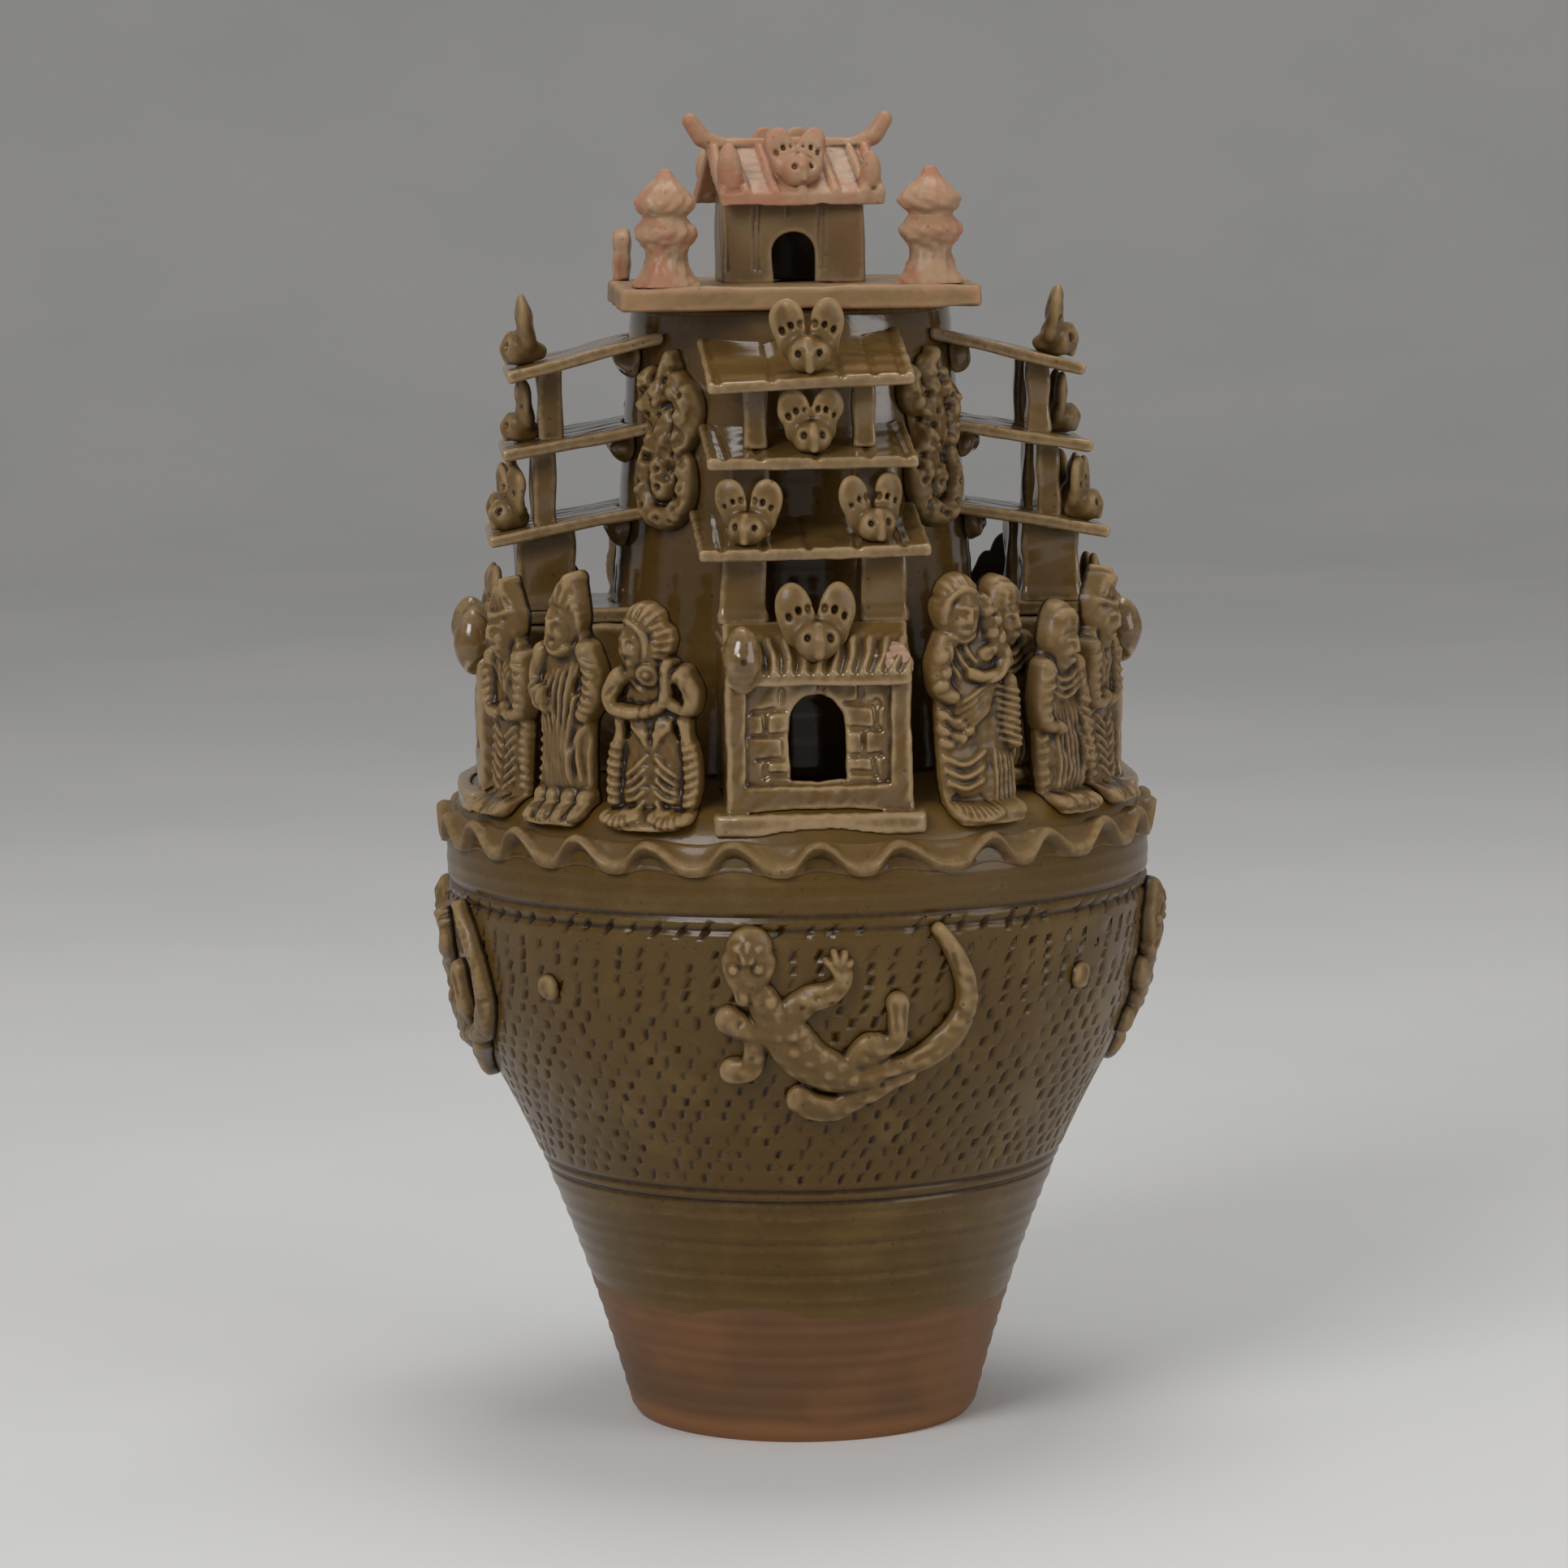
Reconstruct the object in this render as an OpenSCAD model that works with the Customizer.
// Storeyed funerary jar: a thrown jar with a tall neck, four storeyed gate towers,
// moulded figures on the shoulder, applied dragons and a loose lid that carries a small house.
// Millimetres. Origin at the centre of the foot's underside, +Z up, the front gate faces -Y.

/* [Jar body] */
// Radius of the flat foot
foot_r = 50.5; // [46:0.5:55]
// Height of the bevel round the foot
foot_bevel = 6; // [4:0.5:9]
// How far the bevel widens the foot
foot_flare = 2.8; // [1:0.1:4]
// Height where the straight flank turns into the belly
flank_h = 104.5; // [96:0.5:110]
// Radius at the top of the flank
flank_r = 90.5; // [86:0.5:94]
// How far the flank sags inside a straight line
flank_sag = 2.2; // [0:0.1:5]
// Height where the belly is widest
belly_h = 172; // [166:0.5:176]
// Widest radius of the belly
belly_r = 105.3; // [102:0.1:108]
// Height of the shelf at its outer edge
shelf_h = 194.5; // [190:0.5:199]
// Width of the rounding between belly and shelf
shelf_round = 13.3; // [11:0.1:15]
// Rise of the shelf from its edge to the foot of the neck
shelf_rise = 4; // [2:0.5:6]
// Thickness of the body's wall
body_wall = 6; // [4:0.5:8]
// Thickness of the floor
floor_t = 9; // [6:0.5:14]
// Heights of the turned grooves round the body
groove_heights = [77, 80.5, 160.5, 164.5]; // [60:0.5:170]
// Radius of a turned groove
groove_r = 0.8; // [0.4:0.1:1.2]
// Diameter of the clay buttons on the belly
button_d = 8.4; // [6:0.2:11]
// Height of a button above the wall
button_h = 2.6; // [1.5:0.1:4]
// Height of the buttons above the foot
button_z = 141; // [125:1:150]
// Angle of the buttons from the front and the back
button_angle = 48; // [40:1:52]

/* [Neck] */
// Radius of the neck at its foot
neck_foot_r = 57.5; // [54:0.5:60]
// Radius of the neck at its rim
neck_rim_r = 47.5; // [45:0.5:50]
// Height of the neck
neck_h = 135; // [128:1:142]
// Thickness of the neck's wall
neck_wall = 5.5; // [4:0.5:7]

/* [Frill] */
// Waves round the frill
frill_waves = 29; // [20:1:36]
// How far the frill stands out past the belly
frill_reach = 2.3; // [1.2:0.1:4.5]
// How far the frill's middle line lies below the shelf's edge
frill_drop = 12.7; // [12:0.1:15]
// How far the frill's lip waves up and down
frill_wave = 4.4; // [2.5:0.1:5]
// Thickness of the frill's lip
frill_t = 3; // [2:0.1:3.6]
// Thickness of the frill in the scoops above its lip
frill_scoop = 0.8; // [0.6:0.1:1.2]

/* [Gatehouses] */
// Width of a gatehouse
gate_w = 53; // [48:0.5:56]
// How far the front wall stands out past the shelf's edge
gate_out = 3.5; // [1:0.5:5]
// Height of the front wall above the shelf
gate_wall_h = 37.5; // [34:0.5:42]
// Thickness of the gatehouse walls
gate_wall = 4.5; // [3:0.5:6]
// Width of the raised border round the front wall
gate_border = 5; // [3:0.5:7]
// Depth of the field inside the border
gate_field = 1.5; // [0.8:0.1:2]
// Width of the doorway
door_w = 16; // [12:0.5:20]
// Height of the doorway to the top of its arch
door_h = 24; // [20:0.5:26]
// Height of the door sill above the shelf
door_sill = 8.5; // [6:0.5:10]
// Courses of bricks in the field
brick_rows = 4; // [3:1:6]
// Width of an incised brick joint
joint_w = 1.5; // [0.8:0.1:2]
// Depth of an incised brick joint below the field
joint_depth = 1.2; // [0.6:0.1:1.6]
// Depth of the tiled apron in front of the flat roof
apron_d = 11.5; // [8:0.5:14]
// Rise of the tiled apron
apron_rise = 10.5; // [8:0.5:13]
// How far the apron's eave stands in front of the wall
apron_reach = 4; // [2:0.5:5]
// Thickness of the gatehouse roof
gate_roof_t = 4.5; // [3.5:0.5:6]
// Tile grooves on an apron
apron_grooves = 11; // [7:1:15]
// Radius of a tile groove
tile_groove_r = 1; // [0.6:0.1:1.3]
// Height of the horn at each end of an apron
horn_h = 15; // [11:0.5:17]
// Diameter of a horn
horn_d = 8.8; // [7:0.2:10]
// Share of its height that is left of the front gate's broken horn
horn_stump = 0.35; // [0.2:0.05:1]

/* [Towers] */
// Widths of the lower, middle and top eaves
eave_w = [66, 60, 59]; // [50:0.5:72]
// How far each eave's front edge lies behind the gate's front wall
eave_setback = [4.5, 9, 11]; // [2:0.5:14]
// Height of each eave's front edge above the shelf
eave_height = [70, 95.2, 117.8]; // [66:0.2:122]
// Slope of each eave down to the front
eave_pitch = [10, 10, 14]; // [5:0.5:16]
// Thickness of an eave
eave_t = 3.5; // [2.5:0.1:4.5]
// Tile grooves across an eave
eave_grooves = 6; // [4:1:9]
// Radius of a tile groove across an eave
eave_groove_r = 1.2; // [0.8:0.1:1.5]
// Width of the piers that carry the lower eave
pier_w = 13; // [9:0.5:16]
// Depth of the piers
pier_d = 17; // [12:0.5:20]
// How far the piers' front lies behind the gate's front wall
pier_setback = 12.5; // [12:0.5:15]
// Widths of the posts under the middle and the top eave
post_w = [11, 6.6]; // [5:0.2:13]
// Depth of the posts
post_d = 7; // [5:0.5:9]
// Distance between the posts' middle lines
post_gap = [35, 31]; // [26:0.5:38]
// How far the posts' middle lies behind the gate's front wall
post_setback = [21, 23.5]; // [19:0.5:26]
// How far a post's foot flares on each side
post_flare = 1.6; // [0:0.1:2.5]
// Radius of the clay lumps under the eaves at the neck
lump_r = 5.2; // [4:0.1:6.5]
// Distance between two lumps
lump_gap = 26; // [18:0.5:32]

/* [Birds] */
// Span of a bird's raised wings
bird_w = 25; // [18:0.5:28]
// Height of a bird
bird_h = 22; // [18:0.5:26]
// Diameter of a wing's round tip
wing_d = 12.4; // [9:0.2:14]
// Thickness of a wing
wing_t = 3.2; // [2:0.1:4.5]
// Width of a bird's broad head
bird_head_w = 16; // [13:0.5:18]
// Height of a bird's head
bird_head_h = 10.4; // [8:0.2:12]
// Sizes of the birds on the apron, the lower, middle and top eave and the lid's roof
bird_size = [1, 0.84, 0.82, 0.92, 0.81]; // [0.7:0.01:1.1]
// How far the birds' middles stand behind the front edges of the eaves
bird_edge = 8; // [7:0.2:9]
// How far the birds on the lower eaves turn outward
bird_turn = 10; // [0:1:14]

/* [Figures] */
// Widths of the five styles of figure
figure_w = [29, 27, 25, 32, 25]; // [20:0.5:34]
// Heights of the five styles of figure
figure_h = [66, 74, 70, 73, 62]; // [50:0.5:80]
// How far the figures' feet reach below the shelf's edge
figure_drop = 6.5; // [4.5:0.1:7]
// How far the figures' backs stand out past the shelf's edge at their feet
figure_out = 2.5; // [1.5:0.1:4]
// How far the figure of the inner row stands behind the others
inner_row = 9; // [8:0.5:11]
// How far the figures lean back
figure_lean = 6; // [2:0.5:9]
// Thickness of a figure at its edge
figure_edge = 2.6; // [1.5:0.1:4]
// How far a figure's front swells beyond its edge
figure_swell = 3.4; // [2:0.1:5]

/* [Dragons] */
// Length of a belly dragon, from its elbow to the bend of its tail
dragon_l = 80; // [70:1:86]
// Thickness of the dragons on the belly
dragon_t = 5; // [3:0.1:7]
// Height of the middle of the belly dragons above the foot
dragon_z = 134; // [128:1:138]
// Height of a neck dragon
neck_dragon_l = 50; // [44:1:54]
// Thickness of the dragons on the neck
neck_dragon_t = 6; // [4:0.1:7]
// Height of the middle of the neck dragons above the shelf's top
neck_dragon_h = 95; // [90:0.5:100]
// Angle of the neck dragons from the front and the back
neck_dragon_angle = 48; // [44:1:52]

/* [Lid] */
// Side of the square lid slab
lid_w = 105; // [98:0.5:112]
// Thickness of the lid slab
lid_t = 6.8; // [5:0.2:9]
// Radius of the slab's corners
lid_corner = 3; // [1:0.5:6]
// Depth of the flange inside the neck
flange_h = 11; // [6:0.5:16]
// Thickness of the flange
flange_t = 4.5; // [3:0.5:6]
// Play between the flange and the neck
flange_play = 1.3; // [0.8:0.1:3]
// Width of the lid's house
house_w = 42; // [38:0.5:46]
// Depth of the lid's house
house_d = 38; // [32:0.5:44]
// Height of the house walls
house_h = 25; // [21:0.5:28]
// Thickness of the house walls
house_wall = 3.6; // [2.5:0.1:5]
// Width of the house door
house_door_w = 13; // [9:0.5:16]
// Height of the house door
house_door_h = 16; // [12:0.5:17]
// Width of the lines incised in the house's front wall
house_line_w = 0.8; // [0.4:0.1:1.2]
// Depth of the lines incised in the house's front wall
house_line_depth = 0.6; // [0.3:0.1:1]
// Rise of the roof's ridge above the house walls
roof_rise = 11.6; // [9:0.2:15]
// How far the eaves stand past the front and back walls
roof_reach = 5; // [3:0.5:7]
// How far the roof stands past the side walls
verge_reach = 3.5; // [2:0.5:6]
// How far the roof is set askew on the walls
roof_turn = 6; // [0:0.5:8]
// Thickness of the roof
roof_t = 3; // [2:0.2:4]
// Tile ribs on a roof slope
roof_ribs = 8; // [5:1:11]
// Radius of a tile rib
rib_r = 1; // [0.6:0.1:1.4]
// How far the ridge and the outer tile ribs end inside the verges
ridge_inset = 2; // [1:0.5:4]
// How far the buds at the eaves' ends stand inside the roof's edges
bud_inset = 3.6; // [3:0.2:5]
// Height of a bud
bud_h = 13.5; // [10:0.5:16]
// Diameter of a bud
bud_d = 7; // [5:0.2:8]
// Distance of the roof's birds from the ridge
roof_bird_out = 18.5; // [16:0.5:20]
// How far a roof bird's foot lies below the tiles at its middle
roof_bird_sink = 3; // [2:0.2:4]
// How far the roof's birds lean back
roof_bird_lean = 8; // [0:1:12]
// Length of the horns at the ridge's ends
ridge_horn = 11.4; // [9:0.2:15]
// How far the ridge horns rise from level
ridge_horn_angle = 40; // [25:1:55]
// Height of a corner stupa
stupa_h = 34; // [28:0.5:38]
// Diameter of a stupa's foot
stupa_d = 20; // [16:0.5:22]
// Distance of the stupas from the lid's middle lines
stupa_place = 38.5; // [36:0.5:40]
// Height of the tablets at the back corners
tablet_h = 16; // [12:0.5:20]
// Width of a tablet
tablet_w = 12; // [9:0.5:14]
// Thickness of a tablet
tablet_t = 5; // [3.5:0.5:6]
// Distance of the tablets' middles from the lid's middle lines, to the side and to the back
tablet_place = [48.5, 36]; // [30:0.5:49]

/* [Fits] */
// Gap of slip clay between two luted pieces
lute = 0.3; // [0.2:0.05:0.5]
// Play between the lid and the rim that carries it
lid_play = 0.2; // [0.1:0.05:0.5]

/* [Hidden] */
$fn = 64;
SIDES = ["front", "right", "back", "left"];
QUARTERS = ["front_right", "back_right", "back_left", "front_left"];
TOWER_PARTS = ["gate_walls", "gate_roof", "supports", "lower_eave", "middle_eave", "top_eave", "birds"];
EAVES = ["lower_eave", "middle_eave", "top_eave"];
// Places of the figures: angle from the front, style, 1 in the inner row
FIGURES = [
    [-29, 0, 0], [-47.5, 1, 0], [-64, 2, 0], [28.5, 3, 0], [42, 4, 1], [49, 4, 0], [64.5, 2, 0],
    [116, 2, 0], [133.5, 3, 0], [153.5, 0, 0], [-115.5, 4, 0], [-133, 0, 0], [-152, 1, 0]
];
// Half outlines of the five styles, as shares of the height and of the half width
STYLES = [
    [[0, 0.72], [0.1, 0.92], [0.3, 0.9], [0.5, 1], [0.62, 0.98], [0.72, 0.72], [0.8, 0.52],
        [0.9, 0.52], [1, 0.18]],
    [[0, 0.8], [0.1, 1], [0.3, 0.84], [0.5, 0.92], [0.62, 1], [0.7, 0.74], [0.76, 0.46],
        [0.86, 0.54], [0.94, 0.4], [1, 0.14]],
    [[0, 0.7], [0.14, 0.92], [0.34, 0.94], [0.5, 0.84], [0.62, 0.96], [0.71, 0.7], [0.78, 0.5],
        [0.87, 0.62], [0.94, 0.36], [1, 0.1]],
    [[0, 0.78], [0.1, 0.94], [0.3, 1], [0.5, 0.94], [0.66, 0.86], [0.76, 0.68], [0.86, 0.6],
        [0.94, 0.5], [1, 0.22]],
    [[0, 0.7], [0.12, 0.94], [0.35, 1], [0.55, 0.94], [0.66, 0.86], [0.74, 0.56], [0.82, 0.5],
        [0.92, 0.46], [1, 0.14]]
];
// Swellings on a figure's front: place across and up, spread across and up, height
SWELLINGS = [
    [0, 0.86, 0.7, 0.055, 2.4], [0.42, 0.56, 0.34, 0.06, 1.7], [-0.42, 0.6, 0.34, 0.06, 1.7],
    [0, 0.52, 0.5, 0.04, 1.2], [0.45, 0.05, 0.3, 0.05, 1.4], [-0.45, 0.05, 0.3, 0.05, 1.4],
    [0, 0.3, 0.3, 0.14, 0.9]
];
FIGURE_ROWS = 15;
FIGURE_COLUMNS = 8;
// Lines of a belly dragon, in eightieths of its length: place along the wall, height above the middle, width
DRAGON_LINES = [
    [[-20, 26, 9], [-20, 18, 15], [-18, 10, 11], [-13, 3, 11], [-8, -6, 14], [-1, -13, 13], [9, -17, 11],
        [22, -15, 8], [34, -8, 8.5], [43, 3, 8], [42, 14, 7], [34, 26, 6]],
    [[-12, -2, 8], [-20, -1, 8], [-26, 0, 9], [-25, -8, 7], [-22, -14, 11]],
    [[-11, 4, 9], [-4, 6, 7.5], [3, 9, 7], [3.5, 18, 8.5]],
    [[20, -18, 7], [10, -23, 8], [2, -27, 9], [-6, -24, 10]],
    [[10, -14, 9], [14, -7, 10], [20, -4, 7], [21, 5, 7.5]]
];
// Lines of a neck dragon, in fiftieths of its height
NECK_DRAGON_LINES = [
    [[1, 26, 5], [0, 20, 9.5], [-1, 13, 9.5], [0, 6, 9], [-4, -0.5, 8.5], [-8, -7, 7.5], [-8, -14, 7.5],
        [-3.5, -20, 7], [3, -20, 7], [7.5, -14.5, 7], [7.8, -8, 6], [6.6, -3, 5]],
    [[3, 17, 7], [8.5, 13, 7], [8.5, 6, 6]],
    [[-3, 11, 7], [-8.5, 14, 6], [-9, 21, 5.5]],
    [[-3, -3, 6], [-1.5, -9, 7.5], [-0.5, -14, 6]]
];

// How much steeper the frill drops beside a crest than it climbs to the next
FRILL_SKEW = 0.25;
// Outline of a pointed bud: shares of its height and of its half width
BUD_OUTLINE = [[0, 0.6], [0.18, 0.86], [0.38, 1], [0.56, 0.95], [0.72, 0.76], [0.86, 0.46], [0.95, 0.22], [1, 0.05]];
// Places of the lines on the house's front wall, as shares of its width
HOUSE_LINES = [-0.28, -0.24, 0.19, 0.23];
// Section of a clay strap: shares of its half width and of its thickness
STRAP_SECTION = [[-1, 0], [-0.68, 0.7], [0, 1], [0.68, 0.7], [1, 0]];
// How far an eave's inner end reaches past the front of the neck, before it is cut round it
EAVE_BITE = 1.5;
// How much further each next limb of a strap animal stands off the wall
LIMB_LIFT = 0.08;

rim_z = shelf_h + shelf_rise + neck_h;
neck_z = shelf_h + shelf_rise;
lid_z = rim_z + lid_play;
lid_top = lid_z + lid_t;
shelf_r = belly_r - shelf_round;
frill_r = belly_r + frill_reach;
frill_z = shelf_h - frill_drop;
gate_front = shelf_r + gate_out;
eave_reach = [for (back = eave_setback) gate_front - back];
pier_front = gate_front - pier_setback;
post_reach = [for (back = post_setback) gate_front - back];
figure_foot = shelf_h - figure_drop;
figure_r = shelf_r + figure_out;

olive = [0.40, 0.31, 0.16];
brown = [0.30, 0.21, 0.11];
khaki = [0.52, 0.42, 0.26];
buff = [0.62, 0.48, 0.34];

function figure_name(i) = str("figure_", i < 10 ? "0" : "", i);

// Point at t on a curve from a to c that heads for b
function bend(a, b, c, t) = (1 - t) * (1 - t) * a + 2 * t * (1 - t) * b + t * t * c;

// Value at x on a smooth curve through the points of a list of pairs
function ease(t) = t * t * (3 - 2 * t);
function smooth(x, list, i = 0) =
    i >= len(list) - 1 ? list[len(list) - 1][1] :
    x <= list[i + 1][0] ?
        list[i][1] + (list[i + 1][1] - list[i][1])
            * ease(max(0, (x - list[i][0]) / (list[i + 1][0] - list[i][0]))) :
    smooth(x, list, i + 1);

// Outer outline of the body as radius and height, from the foot to the neck's seat
foot_edge = [foot_r + foot_flare, foot_bevel];
flank_end = [flank_r, flank_h];
flank_turn = (foot_edge + flank_end) / 2 + [-flank_sag, 11];
belly_slope = (flank_end - flank_turn)[0] / (flank_end - flank_turn)[1];
belly_turn = [belly_r, flank_h + (belly_r - flank_r) / belly_slope];
body_outline = concat(
    [[foot_r, 0], [foot_r + foot_flare * 0.7, foot_bevel * 0.45]],
    [for (t = [0:0.125:1]) bend(foot_edge, flank_turn, flank_end, t)],
    [for (t = [0.125:0.125:1]) bend(flank_end, belly_turn, [belly_r, belly_h], t)],
    [for (a = [10:10:90]) [shelf_r + shelf_round * cos(a), belly_h + (shelf_h - belly_h) * sin(a)]],
    [[neck_foot_r, neck_z]]
);
inner_outline = concat(
    [[neck_foot_r - neck_wall, neck_z], [neck_foot_r - neck_wall, neck_z - body_wall],
        [shelf_r - body_wall, shelf_h - body_wall]],
    [for (a = [75:-25:0]) [shelf_r - body_wall + shelf_round * cos(a),
        belly_h + (shelf_h - body_wall - belly_h) * sin(a)]],
    [for (t = [0.75:-0.25:0.25]) bend(flank_end, belly_turn, [belly_r, belly_h], t) - [body_wall, 0]],
    [for (t = [1:-0.25:0.25]) bend(foot_edge, flank_turn, flank_end, t) - [body_wall, 0]],
    [[body_r(floor_t) - body_wall, floor_t], [0, floor_t]]
);

function body_r(z) = lookup(z, [for (p = body_outline) [p[1], p[0]]]);
function shelf_z(r) = lookup(r, [for (p = body_outline) if (p[1] >= belly_h) p]);
function neck_r(z) = neck_foot_r + (neck_rim_r - neck_foot_r) * (z - neck_z) / neck_h;
function wall_r(z) = z < neck_z ? body_r(z) : neck_r(z);
function wall_tilt(z) = atan(wall_r(z + 1) - wall_r(z - 1)) / 2;
function round_jar(angle, r, z) = [r * sin(angle), -r * cos(angle), z];

// Levels of the gatehouses: foot on the shelf, top of the front wall, top of the flat roof
gate_z = shelf_z(gate_front);
gate_top = gate_z + gate_wall_h;
gate_flat = gate_top + apron_rise + lute + gate_roof_t;

// Children stand on the jar's wall at an angle and a height, with their Z along its outward normal
module on_wall(angle, z) {
    rotate([0, 0, angle])
        translate([0, -wall_r(z), z])
            rotate([90 + wall_tilt(z), 0, 0])
                translate([0, 0, lute])
                    children();
}

// Point on the wall: along it, up it, and out from it past the slip
function wall_point(angle, x, z, out) =
    round_jar(angle + x / wall_r(z) * 180 / PI,
        wall_r(z) + (lute + out) * cos(wall_tilt(z)), z - (lute + out) * sin(wall_tilt(z)));

// Point at share t of a smooth line through the points of a list
function along(line, t) =
    let (last = len(line) - 1, s = t * last, k = min(floor(s), last - 1), u = s - k,
        p0 = line[max(k - 1, 0)], p1 = line[k], p2 = line[k + 1], p3 = line[min(k + 2, last)])
    (2 * p1 + (p2 - p0) * u + (2 * p0 - 5 * p1 + 4 * p2 - p3) * u * u
        + (3 * p1 - p0 - 3 * p2 + p3) * u * u * u) / 2;

// Strap of soft clay pressed on the wall along a smooth line, with a rounded section
module clay_strap(line, middle, thickness, angle, lift) {
    steps = 2 * len(line) - 1;
    sides = len(STRAP_SECTION);
    points = [for (i = [0:steps])
        let (p = along(line, i / steps),
            heading = along(line, min(1, (i + 0.1) / steps)) - along(line, max(0, (i - 0.1) / steps)),
            square_to = [heading[1], -heading[0]] / norm([heading[0], heading[1]]),
            full = i == 0 || i == steps ? 0.5 : 1)
        for (share = STRAP_SECTION)
            wall_point(angle, p[0] + square_to[0] * share[0] * full * p[2] / 2,
                middle + p[1] + square_to[1] * share[0] * full * p[2] / 2, lift + share[1] * full * thickness)];
    walls = [for (i = [0:steps - 1]) for (j = [0:sides - 1])
        let (a = i * sides, b = a + sides, k = (j + 1) % sides)
        each [[a + j, b + j, b + k], [a + j, b + k, a + k]]];
    near = [for (j = [1:sides - 2]) [0, j, j + 1]];
    far = [for (j = [1:sides - 2]) [0, j + 1, j] + steps * sides * [1, 1, 1]];
    polyhedron(points, concat(walls, near, far));
}

// Straps that make one animal: the trunk lies a little lower than the limbs that leave it
module clay_lines(lines, unit, middle, thickness, angle) {
    for (i = [0:len(lines) - 1])
        clay_strap(lines[i] * unit, middle, i == 0 ? thickness : thickness * 0.8, angle, i == 0 ? 0 : LIMB_LIFT * i);
}

// The jar itself, thrown in one piece up to the shelf
module jar_body() {
    color(olive)
        difference() {
            rotate_extrude()
                polygon(concat([[0, 0]], body_outline, inner_outline));
            for (z = groove_heights)
                rotate_extrude()
                    translate([body_r(z) + groove_r * 0.2, z])
                        circle(r = groove_r, $fn = 16);
        }
}

module neck_tube() {
    color(brown)
        rotate_extrude()
            polygon([[neck_foot_r, neck_z], [neck_rim_r, rim_z], [neck_rim_r - neck_wall, rim_z],
                [neck_foot_r - neck_wall, neck_z]]);
}

// Room that luted pieces leave to the shelf and to the neck
module jar_room() {
    translate([0, 0, lute])
        rotate_extrude()
            polygon(concat([[0, 0]], body_outline, [[0, neck_z]]));
    cylinder(h = rim_z, r1 = neck_r(0) + lute, r2 = neck_rim_r + lute);
}

// Pie-crust frill: one full band whose thick lip drops beside each crest and climbs to the next
frill_steps = frill_waves * 5;
frill_trough = frill_z - frill_wave;
frill_crest = min(frill_z + frill_wave, figure_foot - lute - frill_t / 2);
function frill_share(angle) =
    let (p = frill_waves * angle)
    0.5 + 0.5 * (cos(p) - FRILL_SKEW * sin(2 * p)) / (1 + 0.4 * FRILL_SKEW);
function on_body(angle, z, out) = round_jar(angle, body_r(z) + lute + out, z);
function frill_section(angle) =
    let (share = frill_share(angle),
        half = frill_t / 2,
        lip = frill_trough + share * (frill_crest - frill_trough),
        low = frill_trough - half + share * frill_wave / 2,
        high = frill_crest - (1 - share) * half,
        scoop = (lip + half + high) / 2)
    [
        on_body(angle, low, 0),
        round_jar(angle, frill_r - half * (0.6 + share), (low + lip - half) / 2),
        round_jar(angle, frill_r, lip - half),
        round_jar(angle, frill_r - half * 0.5, lip + half),
        on_body(angle, scoop, frill_scoop * (1 + 2 * share)),
        on_body(angle, high, 0),
        on_body(angle, (low + high) / 2, 0)
    ];

module frill_band() {
    sides = len(frill_section(0));
    points = [for (i = [0:frill_steps - 1]) each frill_section(i * 360 / frill_steps)];
    faces = [for (i = [0:frill_steps - 1]) for (j = [0:sides - 1])
        let (a = i * sides, b = (i + 1) % frill_steps * sides, k = (j + 1) % sides)
        each [[a + j, a + k, b + k], [a + j, b + k, b + j]]];
    color(khaki)
        polyhedron(points, faces);
}

module clay_buttons() {
    color(khaki)
        for (angle = [button_angle, 180 - button_angle, 180 + button_angle, -button_angle])
            on_wall(angle, button_z)
                rotate_extrude()
                    polygon(concat([[0, 0]], [for (a = [0:15:90])
                        [button_d / 2 * cos(a), button_h * (0.2 + 0.8 * sin(a))]], [[0, button_h]]));
}

module body_dragon(angle) {
    color(khaki)
        clay_lines(DRAGON_LINES, dragon_l / 80, dragon_z, dragon_t, angle);
}

module neck_dragon(angle) {
    color(olive)
        clay_lines(NECK_DRAGON_LINES, neck_dragon_l / 50, neck_z + neck_dragon_h, neck_dragon_t, angle);
}

// Side outline of a gatehouse, from the axis side to the front
module gate_side(front, top, drop) {
    polygon([[0, drop], [-front, drop], [-front, top], [-front + apron_d, top + apron_rise],
        [0, top + apron_rise]]);
}

// Extrudes a side outline (depth, height) across the given width
module across(width) {
    translate([-width / 2, 0, 0])
        rotate([90, 0, 90])
            linear_extrude(width)
                children();
}

module arch(width, height, depth) {
    rotate([90, 0, 0])
        translate([0, 0, -depth / 2])
            linear_extrude(depth) {
                translate([-width / 2, 0])
                    square([width, height - width / 2]);
                translate([0, height - width / 2])
                    circle(d = width);
            }
}

// Incised brick joints on both sides of the doorway
module brick_joints() {
    field_w = gate_w / 2 - gate_border;
    low = gate_z + gate_border;
    row_h = (gate_wall_h - 1.6 * gate_border) / brick_rows;
    for (side = [-1, 1])
        for (row = [0:brick_rows - 1]) {
            wide = field_w - door_w / 2 - joint_w;
            translate([side * (door_w / 2 + 1 + wide / 2), -gate_front, low + (row + 1) * row_h])
                cube([wide, 2 * (gate_field + joint_depth), joint_w], center = true);
            translate([side * (door_w / 2 + 1 + wide * (row % 2 == 0 ? 0.3 : 0.72)), -gate_front,
                low + (row + 0.5) * row_h])
                cube([joint_w, 2 * (gate_field + joint_depth), row_h], center = true);
        }
}

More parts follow.
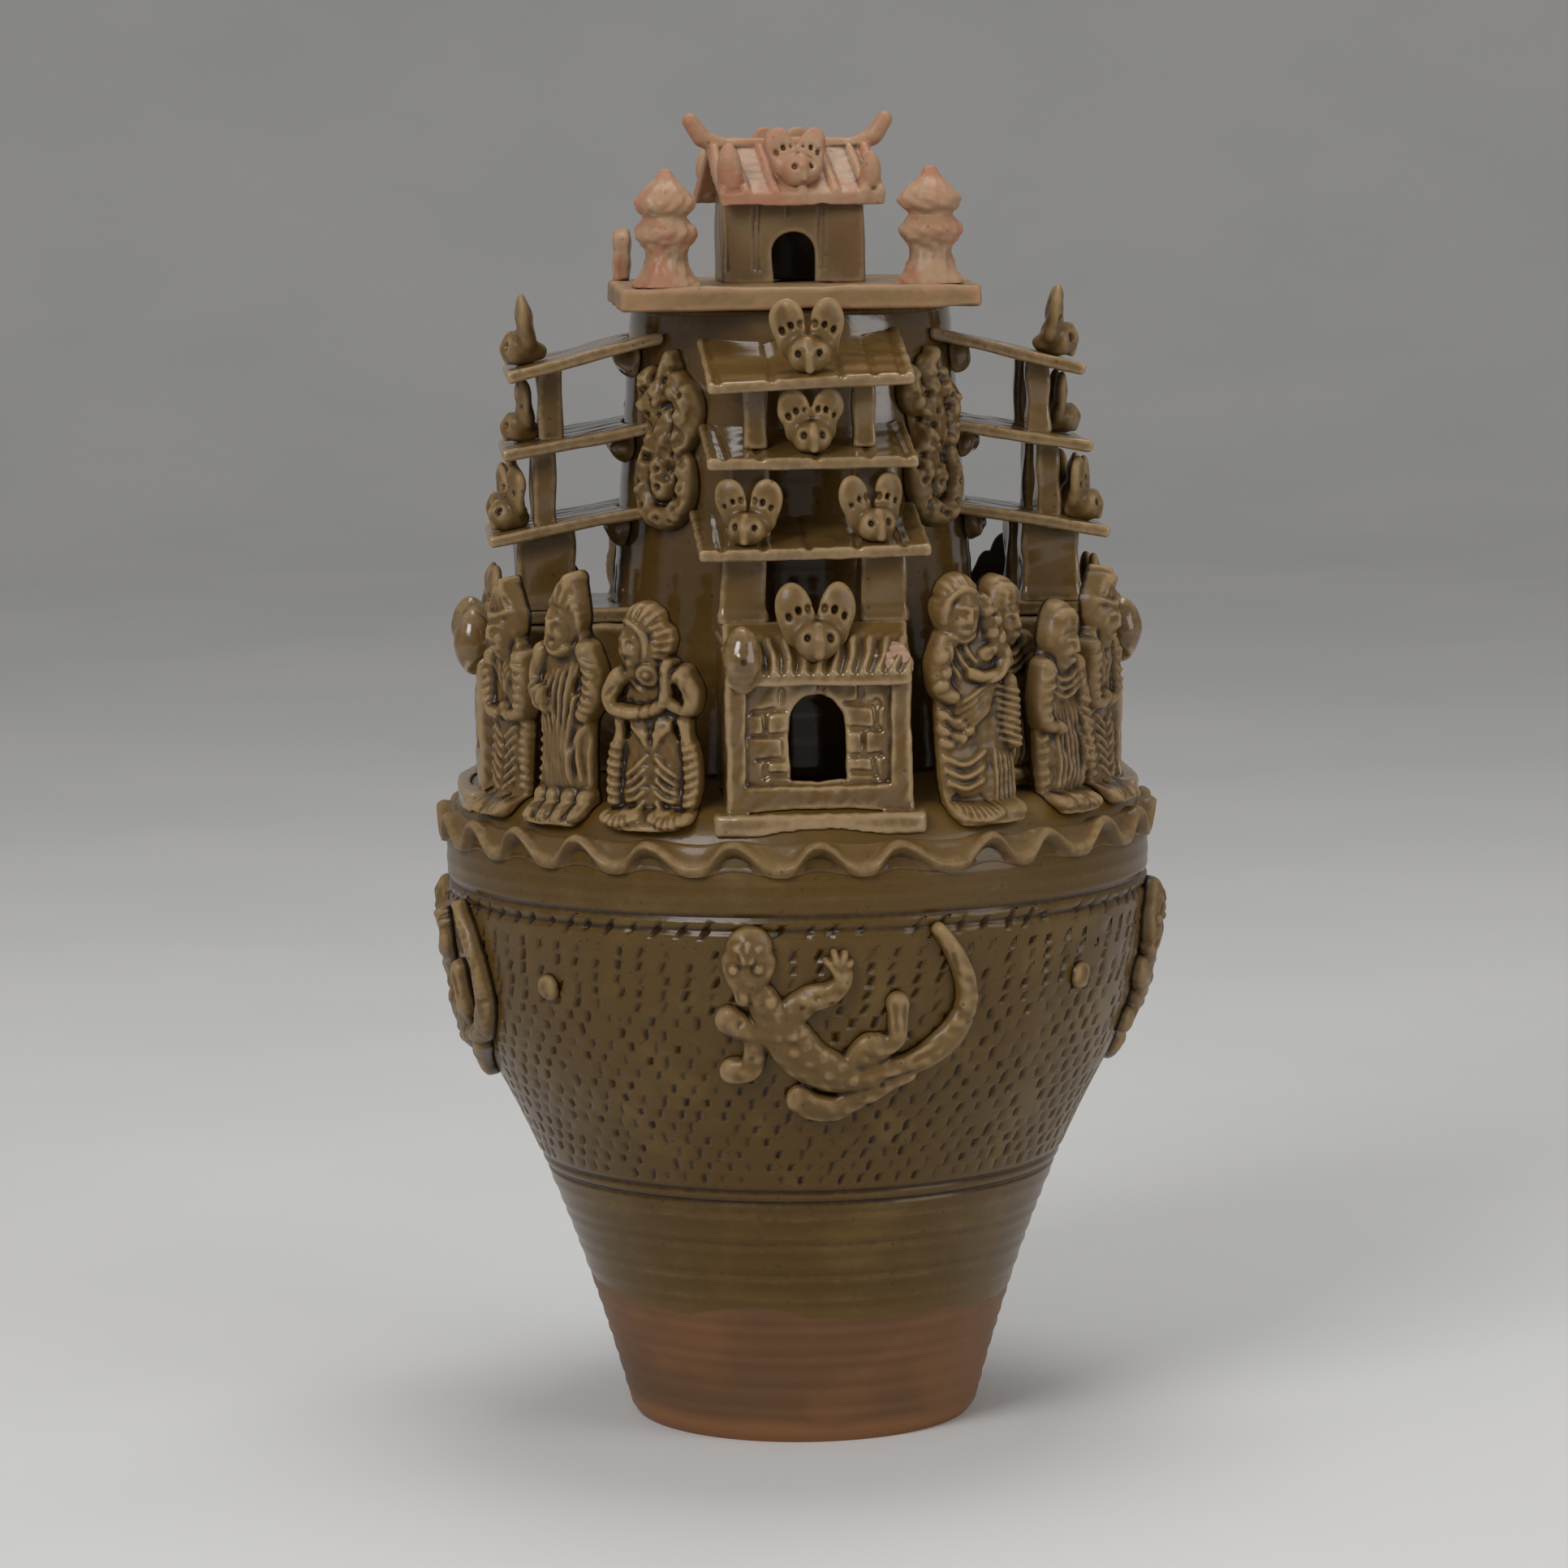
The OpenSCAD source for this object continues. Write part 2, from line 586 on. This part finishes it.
module gate_walls() {
    color(olive)
        difference() {
            across(gate_w)
                gate_side(gate_front, gate_top, belly_h);
            across(gate_w - 2 * gate_wall)
                gate_side(gate_front - gate_wall, gate_top + neck_h, 0);
            translate([-gate_w / 2 + gate_border, -gate_front - gate_field, gate_z + gate_border])
                cube([gate_w - 2 * gate_border, 2 * gate_field, gate_wall_h - 1.6 * gate_border]);
            translate([0, -gate_front, gate_z + door_sill])
                arch(door_w, door_h, 4 * gate_wall);
            brick_joints();
            jar_room();
        }
}

// Underside of a gatehouse roof, as depth and height, from the axis to the eave
apron_slope = atan(apron_rise / apron_d);
eave_y = -gate_front - apron_reach * cos(apron_slope);
eave_z = gate_top + lute - apron_reach * sin(apron_slope);
flat_z = gate_top + lute + apron_rise;
roof_line = [[0, flat_z], [-gate_front + apron_d, flat_z], [eave_y, eave_z]];

// The space below a line that lies the given height above the roof's underside
module under_roof(height) {
    across(2 * gate_w)
        polygon(concat([[0, 0]], [for (p = roof_line) p + [0, height]], [[eave_y, 0]]));
}

// Flat roof with a tiled apron and a horn at each end of the eave
module gate_roof(broken) {
    tile_w = gate_w / apron_grooves;
    color(olive)
        difference() {
            union() {
                across(gate_w)
                    polygon(concat(roof_line, [for (i = [2:-1:0]) roof_line[i] + [0, gate_roof_t]]));
                for (side = [-1, 1])
                    translate([side * (gate_w / 2 - horn_d * 0.4), eave_y + horn_d * 0.5, eave_z + 1])
                        bud(horn_d, horn_h, broken && side > 0 ? horn_stump : 1);
            }
            for (i = [0:apron_grooves])
                translate([(i - apron_grooves / 2) * tile_w, eave_y, eave_z + gate_roof_t + 0.3])
                    rotate([apron_slope - 90, 0, 0])
                        translate([0, 0, -2])
                            cylinder(h = norm([apron_d, apron_rise]) + 2, r = tile_groove_r, $fn = 16);
            under_roof(0);
            jar_room();
        }
}

// Pointed bud that stands on Z, of which the given share is left
module bud(width, height, left = 1) {
    rotate_extrude()
        polygon(concat([[0, 0]], [for (t = [0:0.05:left + 0.001])
            [width / 2 * smooth(t, BUD_OUTLINE), t * height]], [[0, left * height]]));
}

// Puts children in an eave's own frame: Y runs inward from its front edge, Z stands on its underside
module on_eave(i) {
    translate([0, -eave_reach[i], shelf_h + eave_height[i]])
        rotate([eave_pitch[i], 0, 0])
            children();
}

// Height at which an eave's underside meets the neck
function eave_neck_z(i) =
    let (z = shelf_h + eave_height[i]) z + (eave_reach[i] - neck_r(z)) * tan(eave_pitch[i]);

module eave(i) {
    groove_w = eave_w[i] / eave_grooves;
    depth = (eave_reach[i] - neck_r(eave_neck_z(i)) + EAVE_BITE) / cos(eave_pitch[i]);
    color(olive)
        difference() {
            on_eave(i)
                difference() {
                    translate([-eave_w[i] / 2, 0, 0])
                        cube([eave_w[i], depth, eave_t]);
                    for (k = [1:eave_grooves - 1])
                        translate([-eave_w[i] / 2 + k * groove_w, -1, eave_t + eave_groove_r * 0.35])
                            rotate([-90, 0, 0])
                                cylinder(h = eave_reach[i], r = eave_groove_r, $fn = 16);
                }
            jar_room();
        }
}

// Space under an eave, and space above it
module under_eave(i) {
    on_eave(i)
        translate([-eave_w[i], -eave_reach[i], -neck_h - lute])
            cube([2 * eave_w[i], 3 * eave_reach[i], neck_h]);
}

module over_eave(i) {
    on_eave(i)
        translate([-eave_w[i], -eave_reach[i], eave_t + lute])
            cube([2 * eave_w[i], 3 * eave_reach[i], neck_h]);
}

// Strip of clay on edge whose foot flares
module post(width, depth, height) {
    foot_h = post_flare * 3;
    rotate([90, 0, 0])
        translate([0, 0, -depth / 2])
            linear_extrude(depth)
                polygon([[-width / 2 - post_flare, 0], [width / 2 + post_flare, 0],
                    [width / 2, foot_h], [width / 2, height], [-width / 2, height], [-width / 2, foot_h]]);
}

module supports() {
    color(brown) {
        for (side = [-1, 1]) {
            intersection() {
                translate([side * (gate_w - pier_w) / 2 - pier_w / 2, -pier_front, gate_flat + lute])
                    cube([pier_w, pier_d, eave_height[0]]);
                under_eave(0);
            }
            for (i = [0, 1])
                intersection() {
                    translate([side * post_gap[i] / 2, -post_reach[i], shelf_h + eave_height[i]])
                        post(post_w[i], post_d, eave_height[i + 1]);
                    over_eave(i);
                    under_eave(i + 1);
                }
            for (i = [0:2])
                neck_lump(i, side * lump_gap / 2);
        }
    }
}

// Lump of clay that holds an eave to the neck
module neck_lump(i, x) {
    z = eave_neck_z(i);
    difference() {
        intersection() {
            translate([x, -sqrt(neck_r(z) * neck_r(z) - x * x) - 1, z - lump_r * 0.4])
                sphere(r = lump_r);
            under_eave(i);
        }
        jar_room();
    }
}

// Bird pinched from clay: two raised round wings, a broad low head in front and a drooping beak
module bird(size) {
    head_r = bird_head_h / 2;
    scale(size) {
        for (side = [-1, 1]) {
            hull() {
                translate([side * (bird_w - wing_d) / 2, wing_t, bird_h - wing_d / 2])
                    rotate([82, 0, side * 12])
                        cylinder(h = wing_t, d = wing_d, center = true, $fn = 8);
                translate([side * head_r * 0.6, wing_t * 0.5, 0])
                    cylinder(h = head_r * 0.7, d = head_r, $fn = 4);
            }
        }
        hull() {
            for (side = [-1, 1])
                translate([side * (bird_head_w / 2 - head_r), -head_r * 0.4, head_r * 0.95])
                    sphere(r = head_r, $fn = 6);
            translate([0, -head_r * 1.3, head_r * 0.7])
                sphere(r = head_r * 0.4, $fn = 5);
        }
    }
}

module birds() {
    color(khaki) {
        difference() {
            translate([0, -gate_front + apron_d * 0.35, gate_flat - apron_rise])
                bird(bird_size[0]);
            under_roof(gate_roof_t + lute);
        }
        for (side = [-1, 1])
            on_eave(0)
                translate([side * post_gap[0] / 2, bird_edge, eave_t + lute])
                    rotate([0, 0, side * bird_turn])
                        bird(bird_size[1]);
        for (i = [1, 2])
            on_eave(i)
                translate([0, bird_edge, eave_t + lute])
                    bird(bird_size[i + 1]);
    }
}

// Figure moulded as a relief: its back follows the shoulder, its front swells from a thin edge
function figure_back(z, back, half, row) =
    max(figure_r - back - (z - figure_foot) * tan(figure_lean),
        back > 0 ? 0 : body_r(z) + lute + half * half / 8 / belly_r + row * row / 8 / shelf_round);
function figure_depth(u, v) =
    figure_edge * min(1, 0.6 + v * 4)
    + figure_swell * min(1, 0.35 + v * 7) * sqrt(max(0, 1 - u * u))
    + (abs(u) > 0.99 ? 0 : swelling(u, v));
function swelling(u, v, i = 0) =
    i == len(SWELLINGS) ? 0 :
    SWELLINGS[i][4] * exp(-pow((u - SWELLINGS[i][0]) / SWELLINGS[i][2], 2)
        - pow((v - SWELLINGS[i][1]) / SWELLINGS[i][3], 2) / 2) + swelling(u, v, i + 1);

module figure(i) {
    angle = FIGURES[i][0];
    style = FIGURES[i][1];
    back = FIGURES[i][2] * inner_row;
    half = figure_w[style] / 2;
    height = figure_h[style];
    foot = back > 0 ? shelf_z(figure_r - back) + lute : figure_foot;
    rows = FIGURE_ROWS;
    cols = FIGURE_COLUMNS;
    function at(u, v, w) =
        let (z = foot + v * height, r = figure_back(z, back, half, height / rows))
        round_jar(angle + u * smooth(v, STYLES[style]) * half / r * 180 / PI, r + w, z);
    front = [for (j = [0:rows]) for (k = [0:cols])
        let (u = 2 * k / cols - 1, v = j / rows) at(u, v, figure_depth(u, v))];
    rear = [for (j = [0:rows]) for (k = [0:2]) at(k - 1, j / rows, 0)];
    f = cols + 1;
    b = len(front);
    faces = concat(
        [for (j = [0:rows - 1]) for (k = [0:cols - 1])
            each [[j * f + k, j * f + k + f, j * f + k + 1], [j * f + k + 1, j * f + k + f, j * f + k + f + 1]]],
        [for (j = [0:rows - 1]) for (k = [0:1]) let (p = b + j * 3 + k)
            each [[p, p + 1, p + 3], [p + 1, p + 4, p + 3]]],
        [for (j = [0:rows - 1]) let (p = j * f, q = b + j * 3)
            each [[p, q, p + f], [q, q + 3, p + f],
                [p + cols, p + cols + f, q + 2], [q + 2, p + cols + f, q + 5]]],
        edge_fan(0, b, cols, false),
        edge_fan(rows * f, b + rows * 3, cols, true)
    );
    color(khaki)
        polyhedron(concat(front, rear), faces);
}

// Triangles between a row of front points and the three points behind it
function edge_fan(p, q, cols, top) =
    let (half = cols / 2,
        tris = concat(
            [for (k = [0:half - 1]) [p + k, p + k + 1, q]],
            [[p + half, q + 1, q]],
            [for (k = [half:cols - 1]) [p + k, p + k + 1, q + 1]],
            [[p + cols, q + 2, q + 1]]))
    [for (t = tris) top ? [t[0], t[2], t[1]] : t];

module lid_slab() {
    color(buff)
        translate([0, 0, lid_z])
            linear_extrude(lid_t) {
                square([lid_w, lid_w - 2 * lid_corner], center = true);
                square([lid_w - 2 * lid_corner, lid_w], center = true);
                for (x = [-1, 1], y = [-1, 1])
                    translate([x, y] * (lid_w / 2 - lid_corner))
                        circle(r = lid_corner);
            }
}

module lid_flange() {
    outer = neck_rim_r - neck_wall - flange_play;
    color(buff)
        translate([0, 0, lid_z - flange_h])
            difference() {
                cylinder(h = flange_h, r = outer);
                translate([0, 0, -1])
                    cylinder(h = flange_h + 2, r = outer - flange_t);
            }
}

// Side outline of the lid's house up to the given rise of its gable
module house_side(depth, low, high, rise) {
    polygon([[-depth / 2, low], [depth / 2, low], [depth / 2, high], [0, high + rise], [-depth / 2, high]]);
}

roof_slope = atan(roof_rise / (house_d / 2));
wall_top = lid_top + lute + house_h;
roof_thick = roof_t / cos(roof_slope);
roof_ridge = wall_top + lute + roof_rise + roof_thick;

// Height of the tiles' tops at a distance from the ridge
function tile_top(out) = roof_ridge + (rib_r + lute) / cos(roof_slope) - out * tan(roof_slope);

module lid_house() {
    low = lid_top + lute;
    inside = house_d - 2 * house_wall;
    color(buff)
        difference() {
            across(house_w)
                house_side(house_d, low, wall_top, roof_rise);
            across(house_w - 2 * house_wall)
                house_side(inside, low - 1, wall_top, 2 * roof_rise);
            translate([0, -house_d / 2, low - 1])
                arch(house_door_w, house_door_h + 1, 3 * house_wall);
            for (share = HOUSE_LINES)
                translate([share * house_w, -house_d / 2, low + house_h / 2])
                    cube([house_line_w, 2 * house_line_depth, house_h * 0.8], center = true);
        }
}

// Gable roof with tile ribs, a ridge whose ends turn up as horns, and a bud at each eave end
module lid_house_roof() {
    half = house_d / 2 + roof_reach;
    drop = roof_reach * tan(roof_slope);
    low = wall_top + lute;
    wide = house_w + 2 * verge_reach;
    rib_l = norm([half, roof_rise + drop]) - rib_r;
    ridge_l = wide - 2 * ridge_inset;
    color(buff)
        difference() {
            rotate([0, 0, roof_turn]) {
                across(wide)
                    polygon([[-half, low - drop], [0, low + roof_rise], [half, low - drop],
                        [half, low - drop + roof_thick], [0, roof_ridge], [-half, low - drop + roof_thick]]);
                for (slope = [0, 180], i = [0:roof_ribs - 1])
                    rotate([0, 0, slope])
                        translate([(i - (roof_ribs - 1) / 2) * ridge_l / (roof_ribs - 1), 0, roof_ridge])
                            rotate([90 + roof_slope, 0, 0])
                                cylinder(h = rib_l, r = rib_r, $fn = 16);
                translate([-ridge_l / 2, 0, roof_ridge - rib_r / 2])
                    rotate([0, 90, 0])
                        cylinder(h = ridge_l, r = rib_r * 2.2, $fn = 24);
                for (side = [-1, 1]) {
                    translate([side * (ridge_l / 2 - ridge_inset), 0, roof_ridge - rib_r / 2])
                        rotate([0, side * (90 - ridge_horn_angle), 0])
                            ridge_end();
                    for (face = [-1, 1])
                        translate([side * (wide / 2 - bud_inset), face * (half - bud_inset),
                            low - drop + roof_thick])
                            bud(bud_d, bud_h);
                }
            }
            across(house_w + 2 * lute)
                house_side(house_d + 2 * lute, lid_top, wall_top + lute, roof_rise);
        }
}

module ridge_end() {
    cylinder(h = ridge_horn, r1 = rib_r * 2.6, r2 = rib_r * 2);
    translate([0, 0, ridge_horn])
        sphere(r = rib_r * 2);
}

// Waisted stupa: flared foot, ring, bulb and pointed tip
stupa_outline = [
    [0, 1], [0.05, 0.92], [0.12, 0.76], [0.25, 0.59], [0.33, 0.62], [0.4, 0.78], [0.455, 0.89], [0.5, 0.82],
    [0.56, 0.66], [0.6, 0.63], [0.655, 0.74], [0.71, 0.86], [0.77, 0.79], [0.85, 0.56], [0.92, 0.3],
    [0.97, 0.16], [1, 0.04]
];

module lid_stupas() {
    color(buff)
        for (side = [-1, 1])
            translate([side * stupa_place, -stupa_place, lid_top + lute])
                rotate_extrude()
                    polygon(concat([[0, 0]], [for (t = [0:0.025:1])
                        [stupa_d / 2 * smooth(t, stupa_outline), t * stupa_h]], [[0, stupa_h]]));
}

module lid_tablets() {
    color(buff)
        for (side = [-1, 1])
            translate([side * tablet_place[0], tablet_place[1], lid_top + lute])
                rotate([0, 0, side * 90])
                    arch(tablet_w, tablet_h, tablet_t);
}

// Birds that sit upright on the lower part of both roof slopes
module lid_birds() {
    far = 2 * house_d;
    color(buff)
        for (face = [0, 180])
            rotate([0, 0, roof_turn + face])
                difference() {
                    translate([0, -roof_bird_out, tile_top(roof_bird_out) - roof_bird_sink])
                        rotate([-roof_bird_lean, 0, 0])
                            bird(bird_size[4]);
                    across(far)
                        polygon([[-far, 0], [-far, tile_top(far)], [0, tile_top(0)], [far, tile_top(far)], [far, 0]]);
                }
}

module tower_part(side, part) {
    rotate([0, 0, side * 90]) {
        if (part == "gate_walls")
            gate_walls();
        if (part == "gate_roof")
            gate_roof(side == 0);
        if (part == "supports")
            supports();
        for (i = [0:2])
            if (part == EAVES[i])
                eave(i);
        if (part == "birds")
            birds();
    }
}

jar_body();
neck_tube();
frill_band();
clay_buttons();
for (i = [0:3]) {
    body_dragon(i * 90);
    neck_dragon([neck_dragon_angle, 180 - neck_dragon_angle, 180 + neck_dragon_angle, -neck_dragon_angle][i]);
    for (part = TOWER_PARTS)
        tower_part(i, part);
}
for (i = [1:len(FIGURES)])
    figure(i - 1);
lid_slab();
lid_flange();
lid_house();
lid_house_roof();
lid_stupas();
lid_tablets();
lid_birds();
